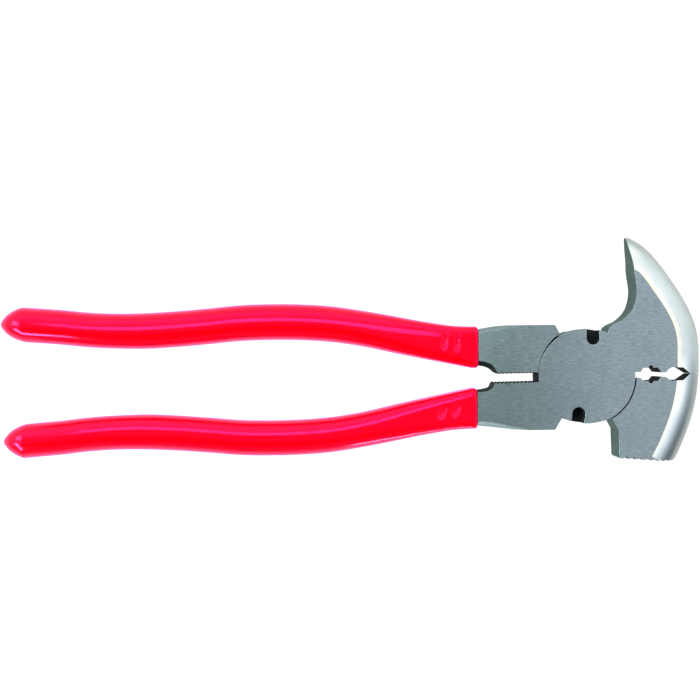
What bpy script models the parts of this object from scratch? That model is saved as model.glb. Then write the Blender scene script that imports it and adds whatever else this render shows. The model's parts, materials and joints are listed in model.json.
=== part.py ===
"""Fencing pliers: two forged steel halves, one rivet and two dipped grips.

Every outline below is in millimetres from the rivet's centre: +X towards the head, +Y towards the pick, +Z up
through the face that lies uppermost. The parts hang from an empty on the rivet's axis, which stands at PIVOT.
"""

import math

import bmesh
import bpy

MM = 0.001

# Overall sizes
THICKNESS = 14.0
FACE = THICKNESS / 2
PIVOT = (89.4, -9.84, 7.0)
LAP_GAP = 0.3
SEAT_GAP = 0.4
CUT_PAST = 3.0

# Joint
DISC_RADIUS = 18.3
DISC_FLAT = 0.4
DISC_FLAT_FROM = 0.85
DISC_STEPS = 36
RIVET_RADIUS = 4.5
RIVET_HEAD_RADIUS = 6.5
RIVET_HEAD_DEPTH = 2.0
RIVET_CLEARANCE = 0.1
RIVET_STEPS = 32

# Cutter notches: a round-ended slot above and below the rivet, as (place, way it runs out) in degrees.
# The back disc has the same pair turned over, so the notches meet when the handles open by 23 degrees.
NOTCH_WIDTH = 4.9
NOTCH_CENTRE = 14.5
NOTCH_LENGTH = 8.0
NOTCHES = ((80.0, 90.0), (-102.8, -97.0))

# Rim of the head: three tangent stretches and a lens-shaped section
RIM_MID_Y = 7.0
RIM_FRONT_X = 44.26
RIM_UPPER_RADIUS = 48.0
RIM_LOWER_RADIUS = 85.0
RIM_FLARE_START = 38.0
RIM_FLARE = 2.45
RIM_FLARE_SPAN = 24.0
RIM_TOP_ANGLE = 64.9
RIM_LOW_ANGLE = -27.0
RIM_SWELL = 0.3
RIM_UPPER_SWELL_SPAN = 43.0
RIM_LOWER_SWELL_SPAN = 22.0
RIM_WIDTH = 10.0
RIM_NARROWING = 0.55
RIM_NARROW_FROM = 3.0
RIM_NARROW_SPAN = 17.0
RIM_EDGE = 0.9
RIM_CROWN = 0.8

# Slot between the shanks
SLOT_TOP = 1.15
SLOT_BOTTOM = -1.65
SLOT_BOTTOM_LEFT = -2.0
SLOT_PITCH = 1.47
SLOT_TOOTH = 0.35
TOOTH_ROW_HOLLOW = 0.06

# Chamfer along each shank's inner edge: x, the edge's y and the y where the chamfer meets the face
INNER_CHAMFERS = {
    1: ((-44.0, 4.45, 6.3), (-40.45, 4.4, 6.15), (-38.0, 3.95, 5.7), (-35.85, 3.15, 4.8), (-34.6, 2.1, 3.2),
        (-33.6, 1.15, 1.4)),
    -1: ((-44.0, -5.0, -5.7), (-41.05, -5.0, -5.6), (-38.0, -4.6, -5.3), (-36.0, -3.95, -4.4),
         (-35.2, -3.0, -3.25)),
}
INNER_DEPTH = 3.0

# Hammer face: its crown line, and how far it falls away from there to each edge
HAMMER_LEFT = (13.3, -31.35)
HAMMER_RIGHT = (31.2, -33.0)
HAMMER_DOME = 0.25
HAMMER_BACK_SHARE = 0.2
HAMMER_PITCH = 2.65
HAMMER_TOOTH = 0.7

# Grips: stations along X, the centre line's distance from the axis, the width and the height
GRIP_MOUTHS = {1: -40.75, -1: -41.35}
GRIP_TIPS = {1: -223.05, -1: -222.4}
GRIP_TIP_OFFSET = 22.4
GRIP_SHIFT = -0.24
GRIP_TRIM = {1: 0.0, -1: 0.3}
GRIP_WALL = 1.1
GRIP_GAP = 0.25
GRIP_HEIGHT = 13.8
GRIP_SIDES = 20
GRIP_STATIONS = (
    (-43.2, 11.65, 15.8),
    (-51.0, 12.7, 14.8),
    (-62.5, 14.8, 14.2),
    (-74.0, 17.2, 14.2),
    (-85.5, 19.5, 13.8),
    (-97.0, 21.2, 13.8),
    (-108.5, 22.0, 13.8),
    (-120.0, 22.2, 13.8),
    (-131.5, 21.9, 13.8),
    (-143.0, 20.9, 13.8),
    (-154.5, 20.0, 13.8),
    (-166.0, 19.4, 13.8),
    (-177.5, 19.4, 13.5),
    (-189.0, 20.0, 13.4),
    (-200.5, 21.2, 13.4),
    (-212.0, 22.1, 13.4),
)
GRIP_POINT = ((6.5, 12.0), (3.45, 8.8), (1.9, 6.2), (0.9, 4.1), (0.0, 1.8))

# Tangs: the forged bars inside the grips
TANG_END = -209.0
TANG_SIDES = 16
TANG_ROOT_Y = 11.9
SHANK_ENDS = {1: -40.45, -1: -41.05}


def clear_scene():
    for obj in list(bpy.data.objects):
        bpy.data.objects.remove(obj, do_unlink=True)


def new_collection(name):
    group = bpy.data.collections.new(name)
    bpy.context.scene.collection.children.link(group)
    return group


def material(name, colour, roughness, metallic):
    made = bpy.data.materials.new(name)
    made.use_nodes = True
    shader = made.node_tree.nodes["Principled BSDF"]
    shader.inputs["Base Color"].default_value = (*colour, 1.0)
    shader.inputs["Roughness"].default_value = roughness
    shader.inputs["Metallic"].default_value = metallic
    return made


def arc(centre, radius, start, end, steps):
    """Points on an arc, from start to end in degrees."""
    points = []
    for i in range(steps + 1):
        a = math.radians(start + (end - start) * i / steps)
        points.append((centre[0] + radius * math.cos(a), centre[1] + radius * math.sin(a)))
    return points


def disc_arc(start, end):
    """The joint disc's edge, which is dressed slightly flat above and below the rivet."""
    steps = max(2, round(abs(end - start) * DISC_STEPS / 360))
    points = []
    for x, y in arc((0, 0), DISC_RADIUS, start, end, steps):
        t = max(0.0, (abs(y) / DISC_RADIUS - DISC_FLAT_FROM) / (1 - DISC_FLAT_FROM))
        keep = 1 - DISC_FLAT / DISC_RADIUS * t * t * (3 - 2 * t)
        points.append((x * keep, y * keep))
    return points


def teeth(start, end, pitch, depth):
    """A row of V grooves, cut to the left of the way it runs, on a line that is very slightly hollow."""
    length = math.dist(start, end)
    count = int(length / pitch)
    along = ((end[0] - start[0]) / length, (end[1] - start[1]) / length)
    points = [start]
    for i in range(count):
        for step, groove in ((i + 0.5, depth), (i + 1, 0.0)):
            s = step * pitch
            drop = groove + TOOTH_ROW_HOLLOW * math.sin(math.pi * s / length)
            x = start[0] + along[0] * s - along[1] * drop
            points.append((x, start[1] + along[1] * s + along[0] * drop))
    points.append(end)
    return points


def rim_point(angle):
    """The head's outer edge at mid thickness; zero degrees is its foremost point."""
    radius = RIM_LOWER_RADIUS if angle < 0 else RIM_UPPER_RADIUS
    centre_x = RIM_FRONT_X - radius
    if 0 < angle < RIM_UPPER_SWELL_SPAN:
        radius += RIM_SWELL * math.sin(2 * math.pi * angle / RIM_UPPER_SWELL_SPAN)
    elif -RIM_LOWER_SWELL_SPAN < angle < 0:
        radius -= RIM_SWELL * math.sin(math.pi * angle / RIM_LOWER_SWELL_SPAN)
    if angle > RIM_FLARE_START:
        t = min(1.0, (angle - RIM_FLARE_START) / RIM_FLARE_SPAN)
        radius += RIM_FLARE * t * t * (3 - 2 * t)
    a = math.radians(angle)
    return (centre_x + radius * math.cos(a), RIM_MID_Y + radius * math.sin(a))


def rim_line(start, end, steps):
    return [rim_point(start + (end - start) * i / steps) for i in range(steps + 1)]


def rim_angle(y):
    """The lower edge's angle at height y."""
    return math.degrees(math.asin((y - RIM_MID_Y) / RIM_LOWER_RADIUS))


def rim_width(angle):
    """The bevel's width, which is a little narrower along the pick."""
    t = min(1.0, max(0.0, (angle - RIM_NARROW_FROM) / RIM_NARROW_SPAN))
    return RIM_WIDTH - RIM_NARROWING * t * t * (3 - 2 * t)


def wire_groove(side):
    """The small round groove in each jaw's pocket, from left to right."""
    centre = (24.2, 2.85 if side > 0 else -2.15)
    return arc(centre, 0.9, 180, 180 - side * 180, 6)


def pick_outline():
    """Lower shank, front disc and upper jaw, counter-clockwise from the shank's outer end."""
    end = SHANK_ENDS[-1]
    points = [(end, -18.5), (-36, -18.9), (-32, -19.4), (-29, -19.95), (-26, -20.15), (-12.2, -20.15)]
    points += disc_arc(-121.2, 4.07)
    points += [(20.4, 1.3), (21.3, 2.85)]
    points += wire_groove(1)
    points += [(26.8, 2.85), (28.1, 1.05), (29.9, 1.05), (30.9, 2.2), (32.2, 3.0), (36.7, 2.85), (40, 0.6)]
    points += [rim_point(rim_angle(0.6))]
    points += rim_line(0, RIM_TOP_ANGLE, 24)
    points += [(16.5, 52.5), (17.5, 46.8), (18.1, 43.2), (18.6, 38), (19.25, 33.5), (19.1, 29.8)]
    points += [(18.2, 26.4), (17.0, 24.2), (15.2, 22.2), (12.9, 20.5), (10.5, 19.5), (8.9, 18.4)]
    points += disc_arc(63.7, 185.96)
    points += teeth((-19.6, SLOT_BOTTOM), (-34.5, SLOT_BOTTOM_LEFT), SLOT_PITCH, SLOT_TOOTH)
    points += [(x, y) for x, y, top in reversed(INNER_CHAMFERS[-1][2:])]
    points += [(end, -5.0)]
    return points


def hammer_outline():
    """Upper shank, back disc and lower jaw, counter-clockwise from the shank's inner end."""
    end = SHANK_ENDS[1]
    points = [(end, 4.4)] + [(x, y) for x, y, top in INNER_CHAMFERS[1][2:-1]]
    points += teeth((-33.6, SLOT_TOP), (-19.6, SLOT_TOP), SLOT_PITCH, SLOT_TOOTH)
    points += disc_arc(175.6, 300.3)
    points += [(11.8, -20.7), (12.0, -29.9), (12.4, -30.9)]
    points += teeth(HAMMER_LEFT, HAMMER_RIGHT, HAMMER_PITCH, HAMMER_TOOTH)
    points += [(33.6, -32.55)] + rim_line(RIM_LOW_ANGLE, rim_angle(0.3), 14)
    points += [(40, 0.3), (36.7, -2.05), (32.2, -2.1), (30.9, -1.5), (29.9, -0.7), (28, -0.6), (26.8, -2.1)]
    points += reversed(wire_groove(-1))
    points += [(21.3, -2.15), (20.4, -1.0)]
    points += disc_arc(-3.0, 121.9)
    points += [(-11.8, 19.5), (-30, 19.55), (-34, 19.3), (-38, 18.7), (end, 18.3)]
    return points


def link(obj, group, parent):
    group.objects.link(obj)
    obj.parent = parent
    return obj


def curve_object(name, outline, group, parent):
    """A closed flat POLY curve through the outline."""
    data = bpy.data.curves.new(name, "CURVE")
    data.dimensions = "2D"
    spline = data.splines.new("POLY")
    spline.points.add(len(outline) - 1)
    for point, (x, y) in zip(spline.points, outline):
        point.co = (x * MM, y * MM, 0, 1)
    spline.use_cyclic_u = True
    return link(bpy.data.objects.new(name, data), group, parent)


def as_mesh(curve, group):
    """The curve's evaluated shape as a welded mesh object in its place."""
    name, parent, place = curve.name, curve.parent, curve.location.copy()
    bpy.context.view_layer.update()
    source = curve.evaluated_get(bpy.context.evaluated_depsgraph_get())
    mesh = bpy.data.meshes.new_from_object(source)
    weld_and_face_out(mesh)
    bpy.data.objects.remove(curve, do_unlink=True)
    solid = link(bpy.data.objects.new(name, mesh), group, parent)
    solid.location = place
    return solid


def weld_and_face_out(mesh):
    work = bmesh.new()
    work.from_mesh(mesh)
    bmesh.ops.remove_doubles(work, verts=work.verts, dist=0.000001)
    bmesh.ops.dissolve_limit(work, angle_limit=0.001, verts=work.verts, edges=work.edges)
    bmesh.ops.recalc_face_normals(work, faces=work.faces)
    work.to_mesh(mesh)
    work.free()


def plate(name, outline, low, high, group, parent):
    """The outline extruded from low to high."""
    curve = curve_object(name, outline, group, parent)
    curve.data.fill_mode = "BOTH"
    curve.data.extrude = (high - low) / 2 * MM
    curve.location.z = (high + low) / 2 * MM
    return as_mesh(curve, group)


def drum(name, radius, low, high, group, parent):
    """A plain cylinder on the rivet's axis."""
    work = bmesh.new()
    bmesh.ops.create_cone(work, cap_ends=True, segments=2 * DISC_STEPS, radius1=radius * MM,
                          radius2=radius * MM, depth=(high - low) * MM)
    mesh = bpy.data.meshes.new(name)
    work.to_mesh(mesh)
    work.free()
    made = link(bpy.data.objects.new(name, mesh), group, parent)
    made.location.z = (high + low) / 2 * MM
    return made


def turned(name, profile, group, parent):
    """A profile of (radius, z) from top to bottom, turned about Z."""
    mesh = bpy.data.meshes.new(name)
    verts = [(r * MM, 0, z * MM) for r, z in profile]
    mesh.from_pydata(verts, [(i, i + 1) for i in range(len(verts) - 1)], [])
    made = link(bpy.data.objects.new(name, mesh), group, parent)
    screw = made.modifiers.new("turn", "SCREW")
    screw.axis = "Z"
    screw.steps = RIVET_STEPS
    screw.render_steps = RIVET_STEPS
    screw.use_merge_vertices = True
    screw.merge_threshold = 0.00001
    return made


def loft(name, rings, group, parent):
    """A closed skin over rings of equal length, each a list of 3-D points, capped at both ends."""
    work = bmesh.new()
    rows = [[work.verts.new([c * MM for c in point]) for point in ring] for ring in rings]
    for lower, upper in zip(rows, rows[1:]):
        for i in range(len(lower)):
            j = (i + 1) % len(lower)
            work.faces.new((lower[i], lower[j], upper[j], upper[i]))
    work.faces.new(reversed(rows[0]))
    work.faces.new(rows[-1])
    bmesh.ops.recalc_face_normals(work, faces=work.faces)
    mesh = bpy.data.meshes.new(name)
    work.to_mesh(mesh)
    work.free()
    return link(bpy.data.objects.new(name, mesh), group, parent)


def boolean(target, other, operation):
    step = target.modifiers.new(other.name, "BOOLEAN")
    step.operation = operation
    step.solver = "EXACT"
    step.object = other


def hide_cutter(cutter):
    cutter.hide_render = True
    cutter.display_type = "WIRE"
    return cutter


def section(x, y, width, height, squareness, sides):
    """A rounded section square to X; squareness 2 is an ellipse, more is boxier."""
    ring = []
    for i in range(sides):
        a = 2 * math.pi * (i + 0.5) / sides
        c, s = math.cos(a), math.sin(a)
        stretch = (abs(c) ** squareness + abs(s) ** squareness) ** (-1 / squareness)
        ring.append((x, y + width / 2 * stretch * c, height / 2 * stretch * s))
    return ring


def grip_stations(side):
    """One grip's sections (x, y, width, height), from its mouth to its pointed end."""
    trim = GRIP_TRIM[side]
    first = GRIP_STATIONS[0]
    stations = [(GRIP_MOUTHS[side], first[1], first[2] - trim - 0.7, GRIP_HEIGHT - 0.7)]
    stations += [(x, y, w - trim, min(GRIP_HEIGHT, w - trim)) for x, y, w in GRIP_STATIONS]
    for back, width in GRIP_POINT:
        stations.append((GRIP_TIPS[side] + back, GRIP_TIP_OFFSET, width, width))
    return [(x, side * y + GRIP_SHIFT, w, h) for x, y, w, h in stations]


def grip(name, side, group, cutters, parent):
    """A dipped sleeve: its outer skin less the tang's room, open at the mouth."""
    stations = grip_stations(side)
    rings = [section(x, y, w, h, 2.2, GRIP_SIDES) for x, y, w, h in stations]
    sleeve = loft(name, rings, group, parent)
    thinner = 2 * GRIP_WALL
    x, y, w, h = stations[0]
    inside = [section(x + CUT_PAST, y, w - thinner + 0.4, h - thinner + 0.4, 2.6, GRIP_SIDES)]
    for x, y, w, h in stations[1:len(GRIP_STATIONS) + 1]:
        inside.append(section(x, y, w - thinner, h - thinner, 2.6, GRIP_SIDES))
    room = hide_cutter(loft(name + "_room", inside, cutters, parent))
    boolean(sleeve, room, "DIFFERENCE")
    return sleeve


def tang(name, side, cutters, parent):
    """The bar inside the grip, rooted in the shank; squarer at the shank's end."""
    thinner = 2 * (GRIP_WALL + GRIP_GAP)
    end = SHANK_ENDS[side]
    rings = [section(end + 5.2, side * TANG_ROOT_Y, 9.5, 10.0, 3.0, TANG_SIDES),
             section(end - 0.6, side * TANG_ROOT_Y, 11.4, 10.9, 3.0, TANG_SIDES)]
    bar = grip_stations(side)[2:len(GRIP_STATIONS)]
    for x, y, w, h in bar:
        rings.append(section(x, y, w - thinner, h - thinner, 2.6, TANG_SIDES))
    rings.append(section(TANG_END, side * GRIP_TIP_OFFSET, 6.0, 6.0, 2.6, TANG_SIDES))
    return hide_cutter(loft(name, rings, cutters, parent))


def notch(name, place, way, cutters, parent):
    """A round-ended slot that runs out through the disc's edge."""
    a = math.radians(place)
    out = (math.cos(math.radians(way)), math.sin(math.radians(way)))
    centre = (NOTCH_CENTRE * math.cos(a), NOTCH_CENTRE * math.sin(a))
    half = NOTCH_WIDTH / 2
    points = arc(centre, half, way + 90, way + 270, 10)
    for sign in (-1, 1):
        points.append((centre[0] + NOTCH_LENGTH * out[0] - sign * half * out[1],
                       centre[1] + NOTCH_LENGTH * out[1] + sign * half * out[0]))
    past = FACE + CUT_PAST
    return hide_cutter(plate(name, points, -past, past, cutters, parent))


def rim_section(side):
    """The rim cutter's section, as (distance in from the edge, height), on the upper or lower face."""
    points = [(-CUT_PAST, FACE + CUT_PAST), (RIM_WIDTH + 2, FACE + CUT_PAST), (RIM_WIDTH + 2, FACE + 0.02),
              (RIM_WIDTH, FACE + 0.02)]
    steps = 6
    for i in range(steps + 1):
        t = 1 - i / steps
        crown = 4 * RIM_CROWN * t * (1 - t)
        points.append((RIM_WIDTH * t - 0.57 * crown, RIM_EDGE + (FACE - RIM_EDGE) * t + 0.82 * crown))
    points.append((-CUT_PAST, RIM_EDGE))
    return [(d, side * z) for d, z in points]


def rim_cutter(name, side, cutters, parent):
    """The rim's section swept round the head's outer edge, past both of its ends."""
    angles = [RIM_LOW_ANGLE - 3 + i * 3.0 for i in range(35)]
    path = [rim_point(a) for a in angles]
    rings = []
    for i, (x, y) in enumerate(path):
        before = path[max(0, i - 1)]
        after = path[min(len(path) - 1, i + 1)]
        length = math.dist(before, after)
        inward = (-(after[1] - before[1]) / length, (after[0] - before[0]) / length)
        wide = rim_width(angles[i]) / RIM_WIDTH
        section_here = [(wide * d, z) for d, z in rim_section(side)]
        rings.append([(x + d * inward[0], y + d * inward[1], z) for d, z in section_here])
    return hide_cutter(loft(name, rings, cutters, parent))


def dome_cutter(cutters, parent):
    """What lies outside the hammer face's dome, along its crown line; the back stays fuller."""
    slope = (HAMMER_RIGHT[1] - HAMMER_LEFT[1]) / (HAMMER_RIGHT[0] - HAMMER_LEFT[0])
    rings = []
    for x in (HAMMER_LEFT[0] - 5, HAMMER_RIGHT[0] + 5):
        crown = HAMMER_LEFT[1] + slope * (x - HAMMER_LEFT[0]) - 0.05
        ring = []
        for i in range(11):
            z = (2 * i / 10 - 1) * (FACE + 1)
            share = 1.0 if z > 0 else HAMMER_BACK_SHARE
            ring.append((x, crown + share * HAMMER_DOME * (z / FACE) ** 2, z))
        rings.append(ring + [(x, crown - 5, FACE + 1), (x, crown - 5, -FACE - 1)])
    return hide_cutter(loft("hammer_dome", rings, cutters, parent))


def inner_chamfer(name, side, face, cutters, parent):
    """The wedge off one face's edge along the inside of the upper (+1) or lower (-1) shank."""
    rings = []
    for x, edge, top in INNER_CHAMFERS[side]:
        slope = INNER_DEPTH / (top - edge)
        deep = FACE - INNER_DEPTH - abs(slope)
        ring = ((top + 1 / slope, FACE + 1), (edge - side, FACE + 1), (edge - side, deep))
        rings.append([(x, y, face * z) for y, z in ring])
    return hide_cutter(loft(name, rings, cutters, parent))


def rivet_profile(grow):
    """Half of the rivet's section; grow is the clearance round it."""
    head = RIVET_HEAD_RADIUS + grow
    body = RIVET_RADIUS + grow
    end = FACE + (CUT_PAST if grow else 0)
    neck = FACE - RIVET_HEAD_DEPTH
    profile = [(0, end), (head, end), (head, FACE - 0.2 - grow), (body, neck - grow)]
    return profile + [(r, -z) for r, z in reversed(profile)]


def half(name, outline, side, finish, group, cutters, parent):
    """One forging. side is +1 where its disc lies on the upper face; its shank lies the other way in Y."""
    solid = plate(name, outline, -FACE, FACE, group, parent)
    near = side * LAP_GAP / 2
    far = -side * (FACE + CUT_PAST)
    seat = drum(name + "_seat", DISC_RADIUS + SEAT_GAP, min(near, far), max(near, far), cutters, parent)
    boolean(solid, hide_cutter(seat), "DIFFERENCE")
    for face in (1, -1):
        boolean(solid, rim_cutter(f"{name}_rim_{face}", face, cutters, parent), "DIFFERENCE")
        wedge = inner_chamfer(f"{name}_chamfer_{face}", -side, face, cutters, parent)
        boolean(solid, wedge, "DIFFERENCE")
    if side < 0:
        boolean(solid, dome_cutter(cutters, parent), "DIFFERENCE")
    for i, (place, way) in enumerate(NOTCHES):
        boolean(solid, notch(f"{name}_notch_{i}", side * place, side * way, cutters, parent), "DIFFERENCE")
    hole = hide_cutter(turned(name + "_hole", rivet_profile(RIVET_CLEARANCE), cutters, parent))
    boolean(solid, hole, "DIFFERENCE")
    boolean(solid, tang(name + "_tang", -side, cutters, parent), "UNION")
    solid.data.materials.append(finish)
    return solid


def main():
    clear_scene()
    parts = new_collection("fencing_pliers")
    cutters = new_collection("cutters")
    pivot = bpy.data.objects.new("pivot_axis", None)
    parts.objects.link(pivot)
    pivot.location = [c * MM for c in PIVOT]

    steel = material("brushed_steel", (0.42, 0.45, 0.48), 0.38, 1.0)
    vinyl = material("red_vinyl", (0.80, 0.02, 0.03), 0.22, 0.0)

    half("pick_half", pick_outline(), 1, steel, parts, cutters, pivot)
    half("hammer_half", hammer_outline(), -1, steel, parts, cutters, pivot)
    rivet = turned("pivot_rivet", rivet_profile(0.0), parts, pivot)
    rivet.data.materials.append(steel)
    for name, side in (("upper_grip", 1), ("lower_grip", -1)):
        grip(name, side, parts, cutters, pivot).data.materials.append(vinyl)


main()
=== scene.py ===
import json
import math

import bmesh
import bpy
from mathutils import Matrix, Vector


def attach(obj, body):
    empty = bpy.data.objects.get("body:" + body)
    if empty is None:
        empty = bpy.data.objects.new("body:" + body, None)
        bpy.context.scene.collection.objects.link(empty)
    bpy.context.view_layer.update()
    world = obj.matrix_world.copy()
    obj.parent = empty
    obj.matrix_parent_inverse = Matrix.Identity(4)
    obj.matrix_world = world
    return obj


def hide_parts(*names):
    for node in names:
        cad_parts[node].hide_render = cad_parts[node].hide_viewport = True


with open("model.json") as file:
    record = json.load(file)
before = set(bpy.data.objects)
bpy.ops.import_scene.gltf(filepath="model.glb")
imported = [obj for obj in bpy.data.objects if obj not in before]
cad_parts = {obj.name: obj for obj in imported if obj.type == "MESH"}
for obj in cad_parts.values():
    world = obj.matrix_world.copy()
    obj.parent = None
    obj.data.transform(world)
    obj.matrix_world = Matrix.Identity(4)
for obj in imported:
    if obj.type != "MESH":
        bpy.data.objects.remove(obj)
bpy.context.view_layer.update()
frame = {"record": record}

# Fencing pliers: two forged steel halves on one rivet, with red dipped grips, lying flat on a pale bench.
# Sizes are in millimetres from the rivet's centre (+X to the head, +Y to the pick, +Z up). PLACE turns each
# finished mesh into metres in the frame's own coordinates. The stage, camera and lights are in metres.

MM = 0.001
RIVET = Vector(frame["record"]["behaviour"]["joints"][0]["pos_m"])
PLACE = Matrix.Translation(RIVET) @ Matrix.Scale(MM, 4)

# Forgings
FACE = 7.0
EDGE_ROUND = 0.12
LAP_GAP = 0.3
DISC_RADIUS = 18.3
DISC_FLAT = 0.4
DISC_FLAT_FROM = 0.85
CUT_PAST = 3.0
WELD = 0.001
SHARP_ANGLE = math.radians(14)

# Seat round the other half's disc: its gap by the angle from +X
SEAT_GAPS = {
    1: ((0, 0.3), (360, 0.3)),
    -1: ((0, 0.52), (110, 0.85), (130, 0.72), (150, 0.36), (176, 0.06), (200, 0.06), (230, 0.3), (300, 0.42),
         (360, 0.52)),
}

# Rivet, ground flush with both faces
RIVET_RADIUS = 4.5
RIVET_HEAD_RADIUS = 6.5
RIVET_HEAD_DEPTH = 2.0
RIVET_CLEARANCE = 0.015

# Cutter notches, as (place round the disc, way it runs out) in degrees
NOTCHES = ((80.0, 90.0), (-102.8, -97.0))
NOTCH_WIDTH = 4.9
NOTCH_CENTRE = 14.5

# Rim of the head: its edge is two arcs with a slight swell, flaring at the pick, and its bevel has a width
RIM_MID_Y = 7.0
RIM_FRONT_X = 44.26
RIM_UPPER_RADIUS = 48.0
RIM_LOWER_RADIUS = 85.0
RIM_FLARE_START = 38.0
RIM_FLARE = 2.45
RIM_FLARE_SPAN = 24.0
RIM_TOP_ANGLE = 64.9
RIM_LOW_ANGLE = -27.0
RIM_SWELL = 0.3
RIM_UPPER_SWELL_SPAN = 43.0
RIM_LOWER_SWELL_SPAN = 22.0
RIM_WIDTH = 10.0
RIM_NARROWING = 0.55
RIM_NARROW_FROM = 3.0
RIM_NARROW_SPAN = 17.0
RIM_TIP_WIDENING = 1.5
RIM_TIP_FROM = 50.0
RIM_TIP_SPAN = 10.0
RIM_BLUNT = 0.25
RIM_SLOPE = 20.0
RIM_SWEEP_START = -30.0
RIM_SWEEP_STEP = 1.2
RIM_SWEEP_STEPS = 86

# Slot between the shanks
SLOT_TOP = 1.15
SLOT_BOTTOM = -1.65
SLOT_BOTTOM_LEFT = -2.0
SLOT_EDGE = 0.5
SLOT_PITCH = 1.47
SLOT_TOOTH = 0.7
SLOT_TEETH = 10
SLOT_START = -33.6

# Chamfer along each shank's inner edge: x, the edge's y and the y where the chamfer meets the face
INNER_CHAMFERS = {
    1: ((-44.0, 4.45, 6.3), (-40.45, 4.4, 6.15), (-38.0, 3.95, 5.7), (-35.85, 3.15, 4.8), (-34.6, 2.1, 3.2),
        (-33.6, 1.15, 1.4)),
    -1: ((-44.0, -5.0, -5.7), (-41.05, -5.0, -5.6), (-38.0, -4.6, -5.3), (-36.0, -3.95, -4.4),
         (-35.2, -3.0, -3.25)),
}
INNER_DEPTH = 3.0

# Bevel along each shank's outer edge: x, the edge's distance from the axis, the bevel's width
OUTER_BEVEL = ((-22, 19.75, 0.0), (-28, 19.5, 0.9), (-32, 19.3, 1.6), (-36, 18.8, 1.8), (-39, 18.4, 1.8),
               (-43, 18.1, 1.7))

# Closing line of the jaws: both meet here at the rim
CLOSING_Y = 0.45
CLOSING_GAP = 0.16

# Hammer face: its crown line, how far it falls away to the front at each end, how much of that it falls away to
# the back, and its waffle grooves
HAMMER_LEFT = (13.3, -31.7)
HAMMER_RIGHT = (31.2, -33.0)
HAMMER_DOMES = (0.55, 0.1)
HAMMER_BACK_SHARE = 0.2
WAFFLE_PITCH = 2.65
WAFFLE_REACH = 1.24
WAFFLE_DEPTH = 0.87

# Grips, by side: the upper is 1, the lower -1
GRIP_MOUTHS = {1: -40.75, -1: -41.35}
MOUTH_GAP = 0.08
GRIP_TIPS = {1: -223.05, -1: -222.4}
GRIP_TIP_OFFSET = 22.4
GRIP_SHIFT = -0.24
GRIP_TRIM = {1: 0.0, -1: 0.3}
GRIP_HEIGHT = 13.8
GRIP_SIDES = 96
TANG_SIDES = 32
TANG_ROOT_Y = 11.9
TANG_GAP = 0.25

# Along a grip: x, the centre line's distance from the axis, width, squareness of the section
GRIP_STATIONS = (
    (-43.2, 11.65, 15.9, 5.0),
    (-51.0, 12.7, 14.8, 4.2),
    (-62.5, 14.8, 14.4, 3.2),
    (-74.0, 17.2, 14.2, 2.5),
    (-85.5, 19.5, 13.8, 2.2),
    (-97.0, 21.2, 13.8, 2.1),
    (-108.5, 22.0, 13.8, 2.1),
    (-120.0, 22.2, 13.8, 2.1),
    (-131.5, 21.9, 13.8, 2.1),
    (-143.0, 20.9, 13.8, 2.1),
    (-154.5, 20.0, 13.8, 2.1),
    (-166.0, 19.4, 13.8, 2.1),
    (-177.5, 19.4, 13.5, 2.1),
    (-189.0, 20.0, 13.4, 2.0),
    (-200.5, 21.2, 13.4, 2.0),
    (-213.4, 22.2, 13.4, 2.0),
)

# Its point and its rolled lip: (distance from the end, width) and (distance from the mouth, how far in)
GRIP_POINT = ((8.0, 13.0), (6.5, 12.0), (5.0, 10.7), (3.45, 8.8), (2.7, 7.7), (1.9, 6.2), (1.15, 4.6),
              (0.6, 3.2), (0.2, 1.9), (0.0, 0.8))
GRIP_LIP = ((1.2, 0.0), (0.7, 0.12), (0.3, 0.4), (0.08, 0.8), (0.0, 1.3), (0.06, 1.9), (0.4, 2.3))
GRIP_ROOM_END = -212.0
GRIP_WALL = 1.1

# Thumb dimples: x, y, half length, half width, turn in degrees
DIMPLE_DEPTH = 0.9
DIMPLES = {
    1: ((-53.6, 13.3, 2.4, 1.0, 80), (-49.0, 12.6, 2.4, 1.0, 80)),
    -1: ((-54.6, -13.2, 2.4, 1.0, 62), (-49.4, -12.4, 2.4, 1.0, 62)),
}


# ---------------------------------------------------------------- outlines

def arc(centre, radius, start, end, step=3.0):
    """Points on an arc, from start to end in degrees."""
    steps = max(2, math.ceil(abs(end - start) / step))
    points = []
    for i in range(steps + 1):
        a = math.radians(start + (end - start) * i / steps)
        points.append((centre[0] + radius * math.cos(a), centre[1] + radius * math.sin(a)))
    return points


def blend_line(points, steps=5):
    """A smooth line through the points (Catmull-Rom), keeping its two ends."""
    padded = [points[0]] + list(points) + [points[-1]]
    line = []
    for p0, p1, p2, p3 in zip(padded, padded[1:], padded[2:], padded[3:]):
        for i in range(steps):
            t = i / steps
            line.append(tuple(
                0.5 * (2 * b + (c - a) * t + (2 * a - 5 * b + 4 * c - d) * t * t
                       + (3 * b - a - 3 * c + d) * t ** 3)
                for a, b, c, d in zip(p0, p1, p2, p3)))
    line.append(tuple(points[-1]))
    return line


def rim_point(angle):
    """The head's outer edge at mid thickness; zero degrees is its foremost point."""
    radius = RIM_LOWER_RADIUS if angle < 0 else RIM_UPPER_RADIUS
    centre_x = RIM_FRONT_X - radius
    if 0 < angle < RIM_UPPER_SWELL_SPAN:
        radius += RIM_SWELL * math.sin(2 * math.pi * angle / RIM_UPPER_SWELL_SPAN)
    elif -RIM_LOWER_SWELL_SPAN < angle < 0:
        radius -= RIM_SWELL * math.sin(math.pi * angle / RIM_LOWER_SWELL_SPAN)
    if angle > RIM_FLARE_START:
        t = min(1.0, (angle - RIM_FLARE_START) / RIM_FLARE_SPAN)
        radius += RIM_FLARE * t * t * (3 - 2 * t)
    a = math.radians(angle)
    return (centre_x + radius * math.cos(a), RIM_MID_Y + radius * math.sin(a))


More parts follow.
